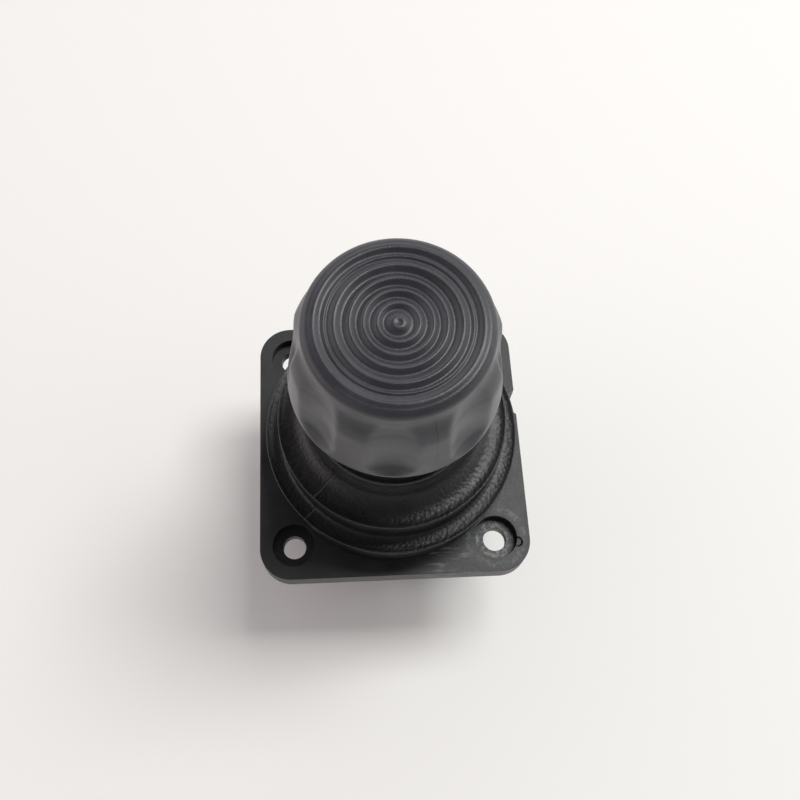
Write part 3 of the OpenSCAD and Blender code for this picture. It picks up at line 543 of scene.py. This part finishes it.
# ---- rubber boot: a smooth stepped sleeve in two lengths, as a blended piece spans one joint.
boot_outside = [  # radius, and height over the flange, from the foot up
    (19.7, 0), (19.72, 3), (19.75, 5.4), (20.05, 7.0), (20.4, 8.1), (20.49, 8.35), (20.44, 8.47),
    (20.3, 8.47), (19.9, 8.33), (19.2, 8.25), (18.4, 8.28), (17.95, 8.5), (17.68, 9.1),
    (17.6, 10), (17.6, 12.2), (17.75, 13.5), (18.02, 14.5), (18.1, 14.72), (18.05, 14.85),
    (17.9, 14.85), (17.5, 14.7), (16.8, 14.62), (15.8, 14.75), (15.0, 15.05), (14.2, 15.6),
    (13.6, 16.5), (13.35, 17.3), (13.25, 17.7), (13.15, 18.1), (13.05, 18.5), (12.95, 19.0),
    (12.86, 19.8), (12.8, 20.12), (12.7, 20.28), (12.5, 20.33), (12.1, 20.25), (10.5, 21),
    (8, 23.5), (6, 25.5), (4.7, 27), (4.3, 28.3)]
boot_inside = [  # the same, from the neck down
    (3.1, 28.3), (3.1, 27.6), (3.7, 26.5), (4.9, 24.9), (6.9, 22.9), (9.6, 20.3), (11.4, 19.2),
    (11.9, 18), (12.2, 16), (13, 14.5), (14.2, 13.7), (16.4, 13.3), (16.4, 8.6), (16.7, 7.6),
    (18.5, 7), (18.5, 1), (15, 1), (15, 0)]
split_height = 11.0     # over the flange, between the two lower lips
boot_facets = 300
outside = smooth_profile(boot_outside, 0.22)
cross = min(range(len(outside)), key=lambda k: abs(outside[k][1] - split_height))
inner_cut = next(k for k, p in enumerate(boot_inside) if p[1] <= split_height)
lower = outside[:cross + 1] + boot_inside[inner_cut:]
upper = outside[cross:] + boot_inside[:inner_cut + 1]


def crease_rings(piece, height):
    """Marks the cut's edges sharp, so that the two lengths shade as one surface."""
    work = bmesh.new()
    work.from_mesh(piece.data)
    for edge in work.edges:
        if all(abs(v.co.z - (flange_top + height) * MM) < SAME_PLACE for v in edge.verts):
            edge.smooth = False
    work.to_mesh(piece.data)
    work.free()


foot = new_piece("boot_foot_and_lower_lip",
                 *loops_to_mesh(revolve(lower, boot_facets, flange_top)), boot_rubber)
neck = new_piece("boot_upper_lip_and_neck",
                 *loops_to_mesh(revolve(upper, boot_facets, flange_top)), boot_rubber)
split_at = outside[cross][1]
for piece in (foot, neck):
    crease_rings(piece, split_at)
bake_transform(foot)
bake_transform(neck)
for piece in (foot, neck):
    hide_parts("rubber_boot")


# ---- copies of the housing, cover, sensor plates and spring arms with softened edges
def softened(node, name, width, material, body):
    """A copy of a CAD node, its triangles merged to flat faces and its sharp edges rounded."""
    mesh = nodes[node].data.copy()
    work = bmesh.new()
    work.from_mesh(mesh)
    bmesh.ops.remove_doubles(work, verts=work.verts, dist=SAME_PLACE)
    bmesh.ops.dissolve_limit(
        work, angle_limit=math.radians(1), verts=work.verts, edges=work.edges)
    work.to_mesh(mesh)
    work.free()
    mesh.materials.clear()
    mesh.materials.append(material)
    piece = bpy.data.objects.new(name, mesh)
    bpy.context.scene.collection.objects.link(piece)
    edge = piece.modifiers.new("edge", "BEVEL")
    edge.width = width * MM
    edge.segments = 2
    edge.limit_method = "ANGLE"
    edge.angle_limit = math.radians(40)
    for polygon in mesh.polygons:
        polygon.use_smooth = True
    smooth = piece.modifiers.new("normals", "WEIGHTED_NORMAL")
    smooth.keep_sharp = True
    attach(piece, body)
    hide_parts(node)


softened("top_housing", "housing_softened", 0.25, housing_nylon, "base")
softened("bottom_cover", "cover_softened", 0.25, housing_nylon, "base")
for axis_name, carrier in (("x", "x_gimbal"), ("y", "y_bail")):
    softened("pot_%s_plate" % axis_name, "sensor_plate_" + axis_name, 0.15, sensor_phenolic,
             "base")
    softened("%s_spring_arm" % axis_name, "arm_softened_" + axis_name, 0.12, machined_steel,
             carrier)


# ---------------------------------------------------------------- table, light and camera
# Matt laminate: near white, with hardly any sheen
table, _, surface, _ = start_material("white_laminate_table")
surface.inputs["Base Color"].default_value = srgb("f7f5f3")
surface.inputs["Roughness"].default_value = 0.6
surface.inputs["Specular IOR Level"].default_value = 0.2
table_width = 3             # metres
bpy.ops.mesh.primitive_plane_add(size=table_width, location=(0, 0, table_z * MM))
floor = bpy.context.object
floor.name = "table_top"
floor.data.materials.append(table)

# The room: dim overhead and in front, walls lit low down, a little rosy on the left. Directions
# run from -1 to 1 on each axis.
dark_above, lit_below = 0.8, 0.4
front_end, front_start = -0.8, -0.1
front_share = 0.1           # of the walls' light
wall_light, room_light = 1.45, 0.16
rosy_left, plain_right = -0.8, 0.5
wall_tints = [(0.0, "fff4f1"), (0.6, "f8f7ff"), (1.0, "ffffff")]    # from left to right
world = bpy.data.worlds.new("room")
bpy.context.scene.world = world
world.use_nodes = True
room = world.node_tree
room.nodes.clear()
look = add_node(room, "ShaderNodeSeparateXYZ", inputs={
    0: add_node(room, "ShaderNodeTexCoord").outputs["Generated"]})
low_down = add_node(room, "ShaderNodeMapRange", {"interpolation_type": "SMOOTHSTEP"}, {
    "Value": look.outputs["Z"], "From Min": dark_above, "From Max": lit_below})
not_front = add_node(room, "ShaderNodeMapRange", {"interpolation_type": "SMOOTHSTEP"}, {
    "Value": look.outputs["Y"], "From Min": front_end, "From Max": front_start,
    "To Min": front_share, "To Max": 1.0})
lit = multiply(room, low_down.outputs["Result"], not_front.outputs["Result"])
strength = add_node(room, "ShaderNodeMath", {"operation": "MULTIPLY_ADD"}, {
    0: lit, 1: wall_light, 2: room_light})
sideways = add_node(room, "ShaderNodeMapRange", inputs={
    "Value": look.outputs["X"], "From Min": rosy_left, "From Max": plain_right})
tint = ramp(room, sideways.outputs["Result"], [(spot, srgb(code)) for spot, code in wall_tints])
sky = add_node(room, "ShaderNodeBackground", inputs={
    "Color": tint, "Strength": strength.outputs[0]})
add_node(room, "ShaderNodeOutputWorld", inputs={"Surface": sky.outputs[0]})


def lamp(name, place, size, power, colour):
    """A rectangular lamp aimed at the object, its long side along X."""
    data = bpy.data.lights.new(name, "AREA")
    data.shape = "RECTANGLE"
    data.size, data.size_y = size
    data.energy = power
    data.color = srgb(colour)[:3]
    light = bpy.data.objects.new(name, data)
    bpy.context.scene.collection.objects.link(light)
    toward = Vector(place).normalized()
    along = (Vector((1, 0, 0)) - toward * toward.x).normalized()
    across = toward.cross(along)
    light.matrix_world = Matrix((
        (along.x, across.x, toward.x, place[0]), (along.y, across.y, toward.y, place[1]),
        (along.z, across.z, toward.z, place[2]), (0, 0, 0, 1)))


lamp("window", place=(0.36, 0.24, 0.9), size=(0.5, 0.3), power=5.9, colour="fdfffb")

# The camera looks steeply down from the front
camera_place = (-6.48, -53.01, 168.92)
camera_data = bpy.data.cameras.new("camera")
camera = bpy.data.objects.new("camera", camera_data)
bpy.context.scene.collection.objects.link(camera)
yaw, rise = math.radians(-2.38), math.radians(64.93)
back = Vector((math.sin(yaw) * math.cos(rise), -math.cos(yaw) * math.cos(rise), math.sin(rise)))
right = Vector((math.cos(yaw), math.sin(yaw), 0))
up = back.cross(right)
camera.matrix_world = Matrix((
    (right.x, up.x, back.x, camera_place[0] * MM), (right.y, up.y, back.y, camera_place[1] * MM),
    (right.z, up.z, back.z, camera_place[2] * MM), (0, 0, 0, 1)))
camera_data.sensor_width = 36
camera_data.lens = 45.045
camera_data.shift_x = 0.0438
camera_data.shift_y = -0.1026
camera_data.clip_start = 0.005
bpy.context.scene.camera = camera
bpy.context.scene.view_settings.view_transform = "Standard"
